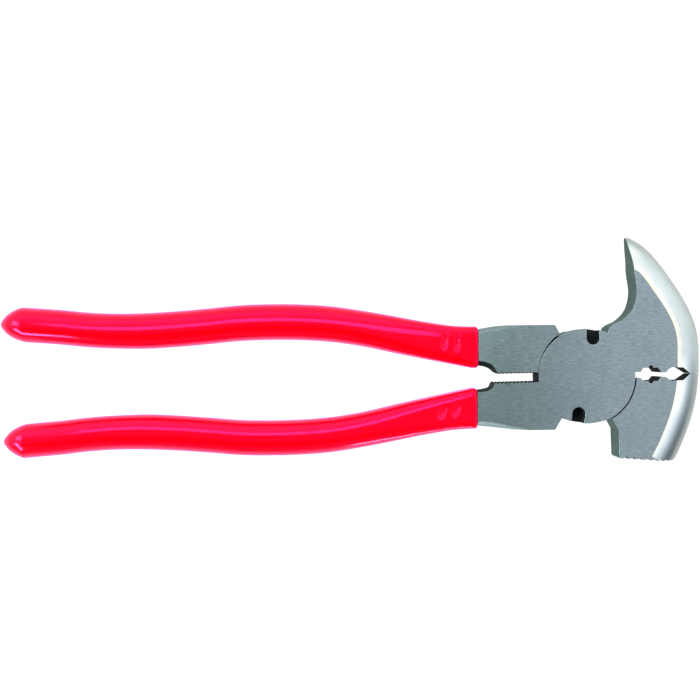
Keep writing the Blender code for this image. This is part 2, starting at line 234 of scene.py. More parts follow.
def rim_line(start, end, step=1.0):
    """The outer edge from one angle to another."""
    steps = math.ceil(abs(end - start) / step)
    return [rim_point(start + (end - start) * i / steps) for i in range(steps + 1)]


def rim_angle(y):
    """The lower edge's angle at height y."""
    return math.degrees(math.asin((y - RIM_MID_Y) / RIM_LOWER_RADIUS))


def rim_width(angle):
    """The bevel's width: narrower past the front, wide again at the pick's point."""
    narrow = RIM_NARROWING * min(1.0, max(0.0, (angle - RIM_NARROW_FROM) / RIM_NARROW_SPAN))
    return RIM_WIDTH - narrow + RIM_TIP_WIDENING * min(1.0, max(0.0, (angle - RIM_TIP_FROM) / RIM_TIP_SPAN))


def inner_edge(side):
    """The shank's inner edge as closely spaced (x, edge, top) stations, from the grip to the slot."""
    return blend_line(INNER_CHAMFERS[side], 4)


def wire_groove(side):
    """The small round groove in each jaw's pocket, from left to right."""
    centre = (24.2, 2.85 if side > 0 else -2.15)
    return arc(centre, 0.9, 180, 180 - side * 180, 15)


def notch_line(place, way):
    """The U of a cutter notch, from its left wall round its bottom to its right wall, seen from inside."""
    a = math.radians(place)
    centre = (NOTCH_CENTRE * math.cos(a), NOTCH_CENTRE * math.sin(a))
    return arc(centre, NOTCH_WIDTH / 2, way + 90, way + 270, 9)


def dressed(x, y):
    """A point of the disc's edge, moved in where the edge is dressed flat above and below the rivet."""
    t = max(0.0, (abs(y) / DISC_RADIUS - DISC_FLAT_FROM) / (1 - DISC_FLAT_FROM))
    keep = 1 - DISC_FLAT / DISC_RADIUS * t * t * (3 - 2 * t)
    return (x * keep, y * keep)


def disc_arc(start, end):
    """The disc's dressed edge, from start to end in degrees."""
    return [dressed(x, y) for x, y in arc((0, 0), DISC_RADIUS, start, end)]


def disc_with_notches(start, end, notches):
    """The disc's edge counter-clockwise, dropping into each notch it passes."""
    points = []
    at = start
    for place, way in notches:
        u = notch_line(place, way)
        out = Vector((math.cos(math.radians(way)), math.sin(math.radians(way))))
        walls = []
        for corner in (u[0], u[-1]):
            p = Vector(corner)
            reach = -p.dot(out) + math.sqrt(p.dot(out) ** 2 - p.length_squared + DISC_RADIUS ** 2)
            walls.append(p + out * reach)
        left, right = walls
        right_at = math.degrees(math.atan2(right.y, right.x))
        left_at = math.degrees(math.atan2(left.y, left.x))
        while right_at < at:
            right_at += 360
        while left_at < right_at:
            left_at += 360
        points += disc_arc(at, right_at)
        points += list(reversed(u))
        at = left_at
    return points + disc_arc(at, end)


def pick_outline():
    """Lower shank, front disc and upper jaw, counter-clockwise from the shank's outer end."""
    end = GRIP_MOUTHS[-1] + MOUTH_GAP
    close = CLOSING_Y + CLOSING_GAP / 2
    points = blend_line([(end, -18.5), (-36, -18.95), (-32, -19.45), (-29, -19.95), (-26, -20.15)])
    points += [(-12.2, -20.15)]
    points += disc_with_notches(-121.2, 4.07, NOTCHES[1:])
    points += [(20.4, 1.3), (21.3, 2.85)]
    points += wire_groove(1)
    points += [(26.8, 2.85), (28.1, 1.05), (29.9, 1.05), (30.9, 2.2), (32.2, 3.0), (36.7, 2.85)]
    points += [(39.8, close)]
    points += [rim_point(rim_angle(close))]
    points += rim_line(rim_angle(close) * 0.9, RIM_TOP_ANGLE)[1:]
    points += blend_line([(16.5, 52.5), (17.5, 46.8), (18.1, 43.2), (18.6, 38), (19.25, 33.5),
                          (19.1, 29.8), (18.2, 26.4), (17.0, 24.2), (15.2, 22.2), (12.9, 20.5),
                          (10.5, 19.5), (8.9, 18.4)])
    points += disc_with_notches(63.7, 185.96, NOTCHES[:1])
    points += [(-34.6, SLOT_BOTTOM_LEFT)]
    points += [(x, y) for x, y, top in reversed(inner_edge(-1)) if x > end + 0.3] + [(end, -5.0)]
    return points


def hammer_outline():
    """Upper shank, back disc and lower jaw, counter-clockwise from the shank's inner end."""
    end = GRIP_MOUTHS[1] + MOUTH_GAP
    close = CLOSING_Y - CLOSING_GAP / 2
    points = [(end, 4.4)] + [(x, y) for x, y, top in inner_edge(1) if x > end + 0.3]
    low, high = ((-p, -w) for p, w in NOTCHES)
    points += disc_with_notches(175.6, 300.3, [low])
    points += [(11.8, -20.7), (12.0, -30.0)]
    points += blend_line([(12.05, -30.5), (12.3, -31.25), HAMMER_LEFT])[:-1]
    points += [HAMMER_LEFT, HAMMER_RIGHT]
    points += [(33.6, -32.55)] + rim_line(RIM_LOW_ANGLE, rim_angle(close))
    points += [(39.8, close), (36.7, -2.05), (32.2, -2.1), (30.9, -1.5), (29.9, -0.7), (28, -0.6)]
    points += [(26.8, -2.1)]
    points += reversed(wire_groove(-1))
    points += [(21.3, -2.15), (20.4, -1.0)]
    points += disc_with_notches(-3.0, 121.9, [high])
    points += [(-11.8, 19.5)]
    points += blend_line([(-30, 19.55), (-34, 19.3), (-38, 18.7), (end, 18.3)])
    return points


# ---------------------------------------------------------------- mesh making

def new_object(name, data):
    """An object in the scene around a mesh, a curve, a light or a camera."""
    made = bpy.data.objects.new(name, data)
    bpy.context.scene.collection.objects.link(made)
    return made


def evaluated_mesh(obj):
    """The object's mesh with its modifiers applied."""
    bpy.context.view_layer.update()
    return bpy.data.meshes.new_from_object(obj.evaluated_get(bpy.context.evaluated_depsgraph_get()))


def drop(obj):
    """Takes an object out of the scene."""
    bpy.data.objects.remove(obj, do_unlink=True)


def clean(mesh):
    """Welds a closed mesh, makes each flat cap one face and turns every face outwards."""
    work = bmesh.new()
    work.from_mesh(mesh)
    bmesh.ops.remove_doubles(work, verts=work.verts, dist=WELD / 2)
    bmesh.ops.dissolve_limit(work, angle_limit=0.0005, verts=work.verts, edges=work.edges)
    bmesh.ops.recalc_face_normals(work, faces=work.faces)
    work.to_mesh(mesh)
    work.free()


def plate(name, outline, half_height, edge_round=0.0):
    """The outline as a plate about mid thickness, with rounded edges."""
    data = bpy.data.curves.new(name, "CURVE")
    data.dimensions = "2D"
    data.fill_mode = "BOTH"
    data.extrude = half_height - edge_round
    data.bevel_depth = edge_round
    data.offset = -edge_round
    data.bevel_resolution = 2
    spline = data.splines.new("POLY")
    spline.points.add(len(outline) - 1)
    for point, (x, y) in zip(spline.points, outline):
        point.co = (x, y, 0, 1)
    spline.use_cyclic_u = True
    curve = new_object(name, data)
    mesh = evaluated_mesh(curve)
    drop(curve)
    clean(mesh)
    return new_object(name, mesh)


def loft(name, rings):
    """A closed skin over rings of equal length, capped at both ends."""
    work = bmesh.new()
    rows = [[work.verts.new(point) for point in ring] for ring in rings]
    for lower, upper in zip(rows, rows[1:]):
        for i in range(len(lower)):
            j = (i + 1) % len(lower)
            work.faces.new((lower[i], lower[j], upper[j], upper[i]))
    work.faces.new(reversed(rows[0]))
    work.faces.new(rows[-1])
    bmesh.ops.recalc_face_normals(work, faces=work.faces)
    mesh = bpy.data.meshes.new(name)
    work.to_mesh(mesh)
    work.free()
    return new_object(name, mesh)


def turned(name, profile, steps=96):
    """A profile of (radius, z) from top to bottom, turned about the rivet's axis."""
    mesh = bpy.data.meshes.new(name)
    mesh.from_pydata([(r, 0, z) for r, z in profile], [(i, i + 1) for i in range(len(profile) - 1)], [])
    made = new_object(name, mesh)
    screw = made.modifiers.new("turn", "SCREW")
    screw.steps = steps
    screw.render_steps = steps
    screw.use_merge_vertices = True
    screw.merge_threshold = 0.0001
    return bake(made)


def bake(obj):
    """Puts the modifiers' result into the object's mesh."""
    mesh = evaluated_mesh(obj)
    obj.modifiers.clear()
    obj.data = mesh
    return obj


def combine(target, other, operation):
    """One exact Boolean, applied and welded, and the other object removed."""
    step = target.modifiers.new("combine", "BOOLEAN")
    step.operation = operation
    step.solver = "EXACT"
    step.object = other
    bake(target)
    drop(other)
    work = bmesh.new()
    work.from_mesh(target.data)
    bmesh.ops.remove_doubles(work, verts=work.verts, dist=WELD)
    work.to_mesh(target.data)
    work.free()


def section(x, y, width, height, squareness, sides):
    """A rounded section square to X; squareness 2 is an ellipse, more is boxier."""
    ring = []
    for i in range(sides):
        a = 2 * math.pi * (i + 0.5) / sides
        c, s = math.cos(a), math.sin(a)
        stretch = (abs(c) ** squareness + abs(s) ** squareness) ** (-1 / squareness)
        ring.append((x, y + width / 2 * stretch * c, height / 2 * stretch * s))
    return ring


# ---------------------------------------------------------------- rows of grooves (Geometry Nodes)

def groove_row_tree():
    """A row of four-sided bars, which cut V grooves. The bars lie along Z and step along X."""
    tree = bpy.data.node_groups.new("groove_row", "GeometryNodeTree")
    face = tree.interface
    face.new_socket("Geometry", in_out="INPUT", socket_type="NodeSocketGeometry")
    count = face.new_socket("Grooves", in_out="INPUT", socket_type="NodeSocketInt")
    pitch = face.new_socket("Pitch", in_out="INPUT", socket_type="NodeSocketFloat")
    depth = face.new_socket("Depth", in_out="INPUT", socket_type="NodeSocketFloat")
    length = face.new_socket("Length", in_out="INPUT", socket_type="NodeSocketFloat")
    finish = face.new_socket("Finish", in_out="INPUT", socket_type="NodeSocketMaterial")
    face.new_socket("Geometry", in_out="OUTPUT", socket_type="NodeSocketGeometry")
    add, link = tree.nodes.new, tree.links.new
    given = add("NodeGroupInput")
    step = add("ShaderNodeCombineXYZ")
    line = add("GeometryNodeMeshLine")
    bar = add("GeometryNodeMeshCylinder")
    bar.inputs["Vertices"].default_value = 4
    bar.inputs["Side Segments"].default_value = 14
    place = add("GeometryNodeInstanceOnPoints")
    real = add("GeometryNodeRealizeInstances")
    coat = add("GeometryNodeSetMaterial")
    out = add("NodeGroupOutput")
    link(given.outputs[pitch.name], step.inputs["X"])
    link(given.outputs[count.name], line.inputs["Count"])
    link(step.outputs[0], line.inputs["Offset"])
    link(given.outputs[depth.name], bar.inputs["Radius"])
    link(given.outputs[length.name], bar.inputs["Depth"])
    link(line.outputs[0], place.inputs["Points"])
    link(bar.outputs["Mesh"], place.inputs["Instance"])
    link(place.outputs[0], real.inputs[0])
    link(real.outputs[0], coat.inputs["Geometry"])
    link(given.outputs[finish.name], coat.inputs["Material"])
    link(coat.outputs[0], out.inputs[0])
    return tree, {"count": count, "pitch": pitch, "depth": depth, "length": length, "finish": finish}


def groove_row(name, tree_and_sockets, place, **sizes):
    """One row as a plain mesh, moved to its place."""
    tree, sockets = tree_and_sockets
    row = new_object(name, bpy.data.meshes.new(name))
    rows = row.modifiers.new("rows", "NODES")
    rows.node_group = tree
    for key, value in sizes.items():
        rows[sockets[key].identifier] = value
    bake(row)
    row.data.transform(place)
    return row


# ---------------------------------------------------------------- cutters

def seat_cutter(side):
    """Room for the other half's disc."""
    outline = []
    for degree in range(0, 360, 3):
        for (a, low), (b, high) in zip(SEAT_GAPS[side], SEAT_GAPS[side][1:]):
            if a <= degree <= b:
                radius = DISC_RADIUS + low + (high - low) * (degree - a) / (b - a)
        outline.append((radius * math.cos(math.radians(degree)), radius * math.sin(math.radians(degree))))
    ends = sorted((side * LAP_GAP / 2, -side * (FACE + CUT_PAST)))
    return loft("seat", [[(x, y, z) for x, y in outline] for z in ends])


def inner_chamfer(side, face):
    """The wedge off one face's edge along the inside of the upper (+1) or lower (-1) shank."""
    rings = []
    for x, edge, top in inner_edge(side):
        slope = INNER_DEPTH / (top - edge)
        low = FACE - INNER_DEPTH - abs(slope)
        ring = ((top + 1 / slope, FACE + 1), (edge - side, FACE + 1), (edge - side, low))
        rings.append([(x, y, face * z) for y, z in ring])
    return loft("inner_chamfer", rings)


def rim_section():
    """From the face down to the blunt edge: (distance in from the edge, height)."""
    start = Vector((RIM_WIDTH, FACE + 0.01))
    slope = math.radians(RIM_SLOPE)
    ends = (start, start - 4.5 * Vector((math.cos(slope), math.sin(slope))), Vector((-0.02, 1.6)),
            Vector((-0.02, RIM_BLUNT)))
    steps = 22
    points = []
    for i in range(steps + 1):
        t = i / steps
        weights = ((1 - t) ** 3, 3 * t * (1 - t) ** 2, 3 * t * t * (1 - t), t ** 3)
        points.append(sum((w * p for w, p in zip(weights, ends)), Vector((0, 0))))
    return points


def rim_cutter(side):
    """Everything outside the rim's crowned section, swept round the head's outer edge."""
    profile = [(-CUT_PAST, FACE + CUT_PAST), (RIM_WIDTH + 1, FACE + CUT_PAST), (RIM_WIDTH + 1, FACE + 0.3)]
    profile += [tuple(p) for p in rim_section()] + [(-CUT_PAST, RIM_BLUNT)]
    angles = [RIM_SWEEP_START + RIM_SWEEP_STEP * i for i in range(RIM_SWEEP_STEPS)]
    path = [rim_point(a) for a in angles]
    rings = []
    for i, (x, y) in enumerate(path):
        before = path[max(0, i - 1)]
        after = path[min(len(path) - 1, i + 1)]
        length = math.dist(before, after)
        inward = (-(after[1] - before[1]) / length, (after[0] - before[0]) / length)
        wide = rim_width(angles[i]) / RIM_WIDTH
        rings.append([(x + wide * d * inward[0], y + wide * d * inward[1], side * z) for d, z in profile])
    return loft("rim_cutter", rings)


def dome_fall(x, z):
    """How far the hammer face has fallen away from its crown; it stays fuller towards the back."""
    along = (x - HAMMER_LEFT[0]) / (HAMMER_RIGHT[0] - HAMMER_LEFT[0])
    dome = HAMMER_DOMES[0] + (HAMMER_DOMES[1] - HAMMER_DOMES[0]) * min(1.0, max(0.0, along))
    return dome * (z / FACE) ** 2 * (1.0 if z > 0 else HAMMER_BACK_SHARE)


def dome_cutter():
    """What lies outside the hammer face's dome, along its crown line."""
    slope = (HAMMER_RIGHT[1] - HAMMER_LEFT[1]) / (HAMMER_RIGHT[0] - HAMMER_LEFT[0])
    rings = []
    for x in (HAMMER_LEFT[0] - 5, HAMMER_LEFT[0], HAMMER_RIGHT[0], HAMMER_RIGHT[0] + 5):
        crown = HAMMER_LEFT[1] + slope * (x - HAMMER_LEFT[0]) - 0.03
        heights = [(i / 14 - 1) * (FACE + 1) for i in range(29)]
        ring = [(x, crown + dome_fall(x, z), z) for z in heights]
        rings.append(ring + [(x, crown - 5, FACE + 1), (x, crown - 5, -FACE - 1)])
    return loft("dome_cutter", rings)


def chamfer_cutter(side, face):
    """The long bevel that rounds the shank's outer edge towards the grip."""
    rings = []
    above = FACE + 0.05
    for x, edge, width in OUTER_BEVEL:
        low = FACE - 1.5 * width
        ring = ((edge - width, above), (edge + 2, above), (edge + 2, low - 1.6), (edge + 0.15, low),
                (edge - 0.4 * width, FACE - 0.45 * width))
        rings.append([(x, side * y, face * z) for y, z in ring])
    return loft("chamfer_cutter", rings)


def rivet_profile(grow):
    """The rivet as (radius, z), or its hole when it grows by the clearance."""
    head = RIVET_HEAD_RADIUS + grow
    body = RIVET_RADIUS + grow
    end = FACE + (CUT_PAST if grow else -0.004)
    neck = FACE - RIVET_HEAD_DEPTH
    profile = [(0, end), (head, end), (head, FACE - 0.3 - grow), (body, neck - grow)]
    return profile + [(r, -z) for r, z in reversed(profile)]


# ---------------------------------------------------------------- grips and tangs

def grip_line(side):
    """Closely spaced grip sections (x, y, width, height, squareness), from mouth to point."""
    coarse = [(x, y, w, min(GRIP_HEIGHT, w), n) for x, y, w, n in GRIP_STATIONS]
    fine = blend_line(coarse[:3], 36)[:-1] + blend_line(coarse, 10)[20:]
    trim = GRIP_TRIM[side]
    fine = [(x, y, w - trim, min(h, w - trim), n) for x, y, w, h, n in fine]
    for back, width in GRIP_POINT:
        fine.append((GRIP_TIPS[side] + back, GRIP_TIP_OFFSET, width, width, 2.0))
    return [(x, side * y + GRIP_SHIFT, w, h, n) for x, y, w, h, n in fine]


def dimpled(points, side):
    """Presses the plain thumb dimples into the upper face near the mouth."""
    moved = []
    for x, y, z in points:
        for cx, cy, long, wide, turn in DIMPLES[side]:
            a = math.radians(turn)
            dx, dy = x - cx, y - cy
            u = (dx * math.cos(a) + dy * math.sin(a)) / long
            v = (dy * math.cos(a) - dx * math.sin(a)) / wide
            if z > 0:
                z -= DIMPLE_DEPTH * math.exp(-(u * u + v * v) ** 2)
        moved.append((x, y, z))
    return moved


def grip(name, side):
    """A dipped sleeve as one skin: point, outside, rolled lip and the room for the tang."""
    line = grip_line(side)
    rings = [dimpled(section(x, y, w, h, n, GRIP_SIDES), side) for x, y, w, h, n in reversed(line)]
    y0, w0, h0, n0 = line[0][1:]
    for back, inset in GRIP_LIP:
        x = GRIP_MOUTHS[side] - back
        rings.append(section(x, y0, w0 - inset, h0 - inset, n0, GRIP_SIDES))
    thinner = 2 * GRIP_WALL
    rings.append(section(GRIP_MOUTHS[side] - 1.5, y0, w0 - thinner, h0 - thinner, n0, GRIP_SIDES))
    for x, y, w, h, n in line[8::8]:
        if x > GRIP_ROOM_END:
            rings.append(section(x, y, w - thinner, h - thinner, max(2.4, n), GRIP_SIDES))
    made = loft(name, rings)
    made.data.transform(PLACE)
    return made


def tang(side):
    """The forged bar inside the grip, rooted in the shank."""
    thinner = 2 * (GRIP_WALL + TANG_GAP)
    end = GRIP_MOUTHS[side] + MOUTH_GAP
    rings = [section(end + 5.2, side * TANG_ROOT_Y, 9.5, 10.0, 3.0, TANG_SIDES),
             section(end - 0.6, side * TANG_ROOT_Y, 11.4, 10.9, 3.0, TANG_SIDES)]
    for x, y, w, h, n in grip_line(side)[24::12]:
        if x > GRIP_ROOM_END + 3:
            rings.append(section(x, y, w - thinner, h - thinner, 2.6, TANG_SIDES))
    return loft("tang", rings)


# ---------------------------------------------------------------- forgings

def rim_inset(x, y):
    """How far in from the head's outer edge a point lies, as a part of the bevel's width."""
    radius = RIM_LOWER_RADIUS if y < RIM_MID_Y else RIM_UPPER_RADIUS
    dx, dy = x - (RIM_FRONT_X - radius), y - RIM_MID_Y
    angle = math.degrees(math.atan2(dy, dx))
    edge = rim_point(angle)
    return (math.dist(edge, (RIM_FRONT_X - radius, RIM_MID_Y)) - math.hypot(dx, dy)) / rim_width(angle)


# The forgings' finishes; the fourth is near-black painted shade for faces where shade falls.
GROUND, POLISHED, SIDE, PAINTED_SHADE = range(4)
RIM_INSET = "rim_inset"


def finish_of(centre, normal):
    """Which finish a face of a forging has; the walls of the slot, the jaws' gap and the joint, and the mating
    face inside the disc, get painted shade.
    """
    x, y, z = centre
    reach = math.hypot(x, y)
    upright = abs(normal.z) < 0.3
    # Mid-thickness faces: painted shade on the mating face inside the disc, seen only down the notches;
    # polished elsewhere.
    if abs(normal.z) > 0.3 and abs(z) < 1.0:
        return PAINTED_SHADE if reach < DISC_RADIUS + 1 else POLISHED
    off_gap = x > 39 and abs(y - CLOSING_Y) > 0.1 or abs(y) > 3.6
    if x > 15 and abs(z) < FACE - 0.02 and (off_gap or not upright):
        inset = rim_inset(x, y)
        if inset < 1.01 and (not upright or inset < 0.035):
            return POLISHED
    # Painted shade on the slot's walls and chamfers.
    in_slot = x < -18 and abs(y) < 6.6
    if in_slot and abs(normal.z) < 0.97:
        return PAINTED_SHADE
    if not upright:
        return GROUND
    # Painted shade on the walls of the jaws' gap and of the joint round the disc.
    in_gap = 18 < x < 45 and abs(y) < 4.2 and (x < 39.5 or abs(normal.y) > 0.8)
    facing = (x * normal.x + y * normal.y) / max(reach, 1.0)
    in_joint = reach < DISC_RADIUS - 0.6 or reach < DISC_RADIUS + 0.8 and facing < -0.9
    return PAINTED_SHADE if in_gap or in_joint else SIDE


def forging(name, outline, side, grooves, finishes):
    """One half. side is +1 where its disc lies on the upper face, -1 on the lower."""
    solid = plate(name, outline, FACE, EDGE_ROUND)
    combine(solid, seat_cutter(side), "DIFFERENCE")
    for face in (1, -1):
        combine(solid, rim_cutter(face), "DIFFERENCE")
        combine(solid, inner_chamfer(-side, face), "DIFFERENCE")
        combine(solid, chamfer_cutter(-side, face), "DIFFERENCE")
    if side < 0:
        combine(solid, dome_cutter(), "DIFFERENCE")
    for row in grooves:
        combine(solid, row, "DIFFERENCE")
    combine(solid, turned("hole", rivet_profile(RIVET_CLEARANCE)), "DIFFERENCE")
    combine(solid, tang(-side), "UNION")
    mesh = solid.data
    mesh.materials.clear()
    for finish in finishes:
        mesh.materials.append(finish)
    for face in mesh.polygons:
        face.material_index = finish_of(face.center, face.normal)
    insets = mesh.attributes.new(RIM_INSET, "FLOAT", "POINT").data
    for inset, corner in zip(insets, mesh.vertices):
        inset.value = rim_inset(corner.co.x, corner.co.y)
    mesh.shade_smooth()
    mesh.set_sharp_from_angle(angle=SHARP_ANGLE)
    mesh.transform(PLACE)
    return solid


def slot_row(tree, name, left, right):
    """The grooves down one wall of the slot, from its left end to its right end."""
    lean = Matrix.Rotation(math.atan2(right - left, -SLOT_START - DISC_RADIUS), 4, "Z")
    return groove_row(name, tree, Matrix.Translation((SLOT_START, left, 0)) @ lean, count=SLOT_TEETH,
                      pitch=SLOT_PITCH, depth=SLOT_TOOTH, length=2 * FACE + 2)


def slot_edges(tree):
    """A small chamfer on both faces along the slot's upper wall."""
    turn = Matrix.Rotation(math.radians(90), 4, "Y")
    return [groove_row("slot_edge", tree, Matrix.Translation((-26.2, SLOT_TOP, z)) @ turn, count=1,
                       pitch=SLOT_PITCH, depth=SLOT_EDGE, length=14.2) for z in (-FACE, FACE)]


def waffle_rows(tree):
    """Grooves across the hammer face through the thickness, and along it, all following its dome."""
    run = Vector(HAMMER_RIGHT) - Vector(HAMMER_LEFT)
    lean = Matrix.Rotation(math.atan2(run.y, run.x), 4, "Z")
    start = Vector(HAMMER_LEFT) + run.normalized() * WAFFLE_PITCH * 0.51
    flat = Matrix.Scale(WAFFLE_DEPTH / WAFFLE_REACH, 4, (0, 1, 0))
    across = groove_row("waffle_across", tree, Matrix.Translation((*start, 0)) @ lean @ flat, count=7,
                        pitch=WAFFLE_PITCH, depth=WAFFLE_REACH, length=2 * FACE + 2)
    turn = Matrix.Rotation(math.radians(90), 4, "Y")
    middle = (Vector(HAMMER_LEFT) + Vector(HAMMER_RIGHT)) / 2
    place = Matrix.Translation((*middle, 2 * WAFFLE_PITCH)) @ lean @ flat @ turn
    along = groove_row("waffle_along", tree, place, count=5, pitch=WAFFLE_PITCH, depth=WAFFLE_REACH,
                       length=30)
    for row in (across, along):
        for corner in row.data.vertices:
            corner.co.y += dome_fall(corner.co.x, corner.co.z)
    return [across, along]


# ---------------------------------------------------------------- shader groups

def shader_group(name, inputs, outputs):
    """An empty group with its sockets: the tree, its input node and its output node."""
    tree = bpy.data.node_groups.new(name, "ShaderNodeTree")
    for label, kind, value in inputs:
        tree.interface.new_socket(label, in_out="INPUT", socket_type=kind).default_value = value
    for label, kind in outputs:
        tree.interface.new_socket(label, in_out="OUTPUT", socket_type=kind)
    return tree, tree.nodes.new("NodeGroupInput"), tree.nodes.new("NodeGroupOutput")


def feed(tree, socket, value):
    """Gives a socket a number, a colour or another node's output."""
    if isinstance(value, bpy.types.NodeSocket):
        tree.links.new(value, socket)
    else:
        socket.default_value = (*value, 1.0) if isinstance(value, tuple) else value


def math_node(tree, operation, *values):
    """One sum on numbers and outputs."""
    node = tree.nodes.new("ShaderNodeMath")
    node.operation = operation
    for socket, value in zip(node.inputs, values):
        feed(tree, socket, value)
    return node.outputs[0]


def noise_node(tree, vector, scale, detail, roughness):
    """A noise texture's 0-1 output."""
    node = tree.nodes.new("ShaderNodeTexNoise")
    for label, value in (("Detail", detail), ("Roughness", roughness), ("Scale", scale), ("Vector", vector)):
        feed(tree, node.inputs[label], value)
    return node.outputs["Fac"]


def texture_place(tree, kind):
    """The texture coordinates of one kind, and their X, Y and Z."""
    where = tree.nodes.new("ShaderNodeTexCoord")
    apart = tree.nodes.new("ShaderNodeSeparateXYZ")
    tree.links.new(where.outputs[kind], apart.inputs[0])
    return where.outputs[kind], apart.outputs


def brushed_group():
    """Fine grinding lines along X with a slow mottle: a 0-1 tone for colour and one for height."""
    number = "NodeSocketFloat"
    tree, given, out = shader_group(
        "brushed_grain",
        (("Line Scale", number, 900.0), ("Line Length", number, 22.0), ("Mottle Scale", number, 90.0)),
        (("Lines", number), ("Mottle", number)))
    where = tree.nodes.new("ShaderNodeTexCoord")
    squash = tree.nodes.new("ShaderNodeVectorMath")
    squash.operation = "MULTIPLY"
    shape = tree.nodes.new("ShaderNodeCombineXYZ")
    shape.inputs["Y"].default_value = 1.0
    shape.inputs["Z"].default_value = 1.0
    tree.links.new(math_node(tree, "DIVIDE", 1.0, given.outputs["Line Length"]), shape.inputs["X"])
    tree.links.new(where.outputs["Object"], squash.inputs[0])
    tree.links.new(shape.outputs[0], squash.inputs[1])
    lines = noise_node(tree, squash.outputs[0], given.outputs["Line Scale"], 4.0, 0.65)
    mottle = noise_node(tree, where.outputs["Object"], given.outputs["Mottle Scale"], 4.0, 0.6)
    tree.links.new(lines, out.inputs["Lines"])
    tree.links.new(mottle, out.inputs["Mottle"])
    return tree


def ramp(tree, value, stops):
    """A colour that follows a 0-1 value; each stop is (position, colour)."""
    node = tree.nodes.new("ShaderNodeValToRGB")
    tree.links.new(value, node.inputs[0])
    elements = node.color_ramp.elements
    while len(elements) < len(stops):
        elements.new(0.5)
    for element, (at, colour) in zip(elements, stops):
        element.position = at
        element.color = (*colour, 1.0)
    return node.outputs[0]


def tint(tree, kind, fac, a, b):
    """Two colours mixed or multiplied."""
    node = tree.nodes.new("ShaderNodeMix")
    node.data_type = "RGBA"
    node.blend_type = kind
    for socket, value in ((node.inputs[0], fac), (node.inputs[6], a), (node.inputs[7], b)):
        feed(tree, socket, value)
    return node.outputs[2]


def bump(tree, height, strength, distance):
    """A normal from a 0-1 height; the distance is in metres."""
    node = tree.nodes.new("ShaderNodeBump")
    node.inputs["Strength"].default_value = strength
    node.inputs["Distance"].default_value = distance
    tree.links.new(height, node.inputs["Height"])
    return node.outputs[0]


def blank_material(name, **fixed):
    """A new material with these shader values: the material, its tree and its shader."""
    made = bpy.data.materials.new(name)
    made.use_nodes = True
    shader = made.node_tree.nodes["Principled BSDF"]
    for label, value in fixed.items():
        shader.inputs[label.replace("_", " ")].default_value = value
    return made, made.node_tree, shader


def shader_inputs(tree, shader, **outputs):
    """Links each output to the shader's input of that name."""
    for label, output in outputs.items():
        tree.links.new(output, shader.inputs[label.replace("_", " ")])


def grains(tree, group, line_scale, line_length, mottle_scale):
    """One use of the brushed grain: its lines and its mottle."""
    node = tree.nodes.new("ShaderNodeGroup")
    node.node_tree = group
    for socket, value in zip(node.inputs, (line_scale, line_length, mottle_scale)):
        socket.default_value = value
    return node.outputs["Lines"], node.outputs["Mottle"]


def ground_steel(grain):
    """Satin ground faces, with painted light along X: brighter and cooler on the head, darker and greener along
    the shanks.
    """
    made, tree, shader = blank_material("ground_steel", Metallic=1.0)
    lines, mottle = grains(tree, grain, 2000.0, 4.5, 120.0)
    axes = texture_place(tree, "Object")[1]
    # Painted light: the base colour darkens and turns greener from the head towards the shanks, along X.
    along = math_node(tree, "MULTIPLY_ADD", axes["X"], 25.0, -1.5)
    painted_light_base = ramp(tree, along, ((0.0, (0.174, 0.231, 0.233)), (1.0, (0.303, 0.361, 0.403))))
    tone = ramp(tree, lines, ((0.3, (0.79, 0.79, 0.79)), (0.7, (1.20, 1.20, 1.21))))
    patch = ramp(tree, mottle, ((0.3, (0.94, 0.95, 0.96)), (0.7, (1.06, 1.05, 1.04))))
    shader_inputs(tree, shader,
                  Base_Color=tint(tree, "MULTIPLY", 1.0, tint(tree, "MULTIPLY", 1.0, painted_light_base, tone), patch),
                  Roughness=math_node(tree, "MULTIPLY_ADD", lines, 0.16, 0.29),
                  Normal=bump(tree, lines, 0.3, 0.00003))
    return made


# The rim's painted reflections, bright and dark bands set as colour by the distance in from the outer edge, as
# a part of the bevel's width: on the upper jaw, at the pick's point and on the lower jaw
RIM_PAINTED_REFLECTION_UPPER = ((0.04, (0.42, 0.46, 0.44)), (0.12, (0.43, 0.475, 0.455)), (0.2, (0.49, 0.53, 0.525)),
                  (0.3, (0.60, 0.65, 0.645)), (0.4, (0.66, 0.70, 0.70)), (0.5, (0.64, 0.665, 0.675)),
                  (0.6, (0.60, 0.625, 0.63)), (0.75, (0.51, 0.515, 0.51)), (0.965, (0.51, 0.50, 0.45)),
                  (1.0, (0.56, 0.58, 0.24)))
RIM_PAINTED_REFLECTION_TIP = ((0.04, (0.42, 0.45, 0.435)), (0.12, (0.42, 0.455, 0.445)), (0.2, (0.50, 0.54, 0.525)),
                (0.3, (0.60, 0.63, 0.615)), (0.4, (0.57, 0.585, 0.575)), (0.5, (0.49, 0.505, 0.50)),
                (0.6, (0.39, 0.405, 0.395)), (0.7, (0.35, 0.36, 0.345)), (0.96, (0.32, 0.33, 0.29)),
                (1.0, (0.42, 0.45, 0.18)))
RIM_PAINTED_REFLECTION_LOWER = ((0.03, (0.38, 0.42, 0.40)), (0.1, (0.32, 0.355, 0.34)), (0.2, (0.30, 0.335, 0.325)),
                  (0.3, (0.38, 0.415, 0.415)), (0.4, (0.43, 0.465, 0.475)), (0.5, (0.57, 0.605, 0.62)),
                  (0.6, (0.72, 0.745, 0.77)), (0.7, (0.81, 0.82, 0.85)), (0.8, (0.77, 0.77, 0.79)),
                  (0.965, (0.69, 0.68, 0.64)), (1.0, (0.58, 0.60, 0.26)))


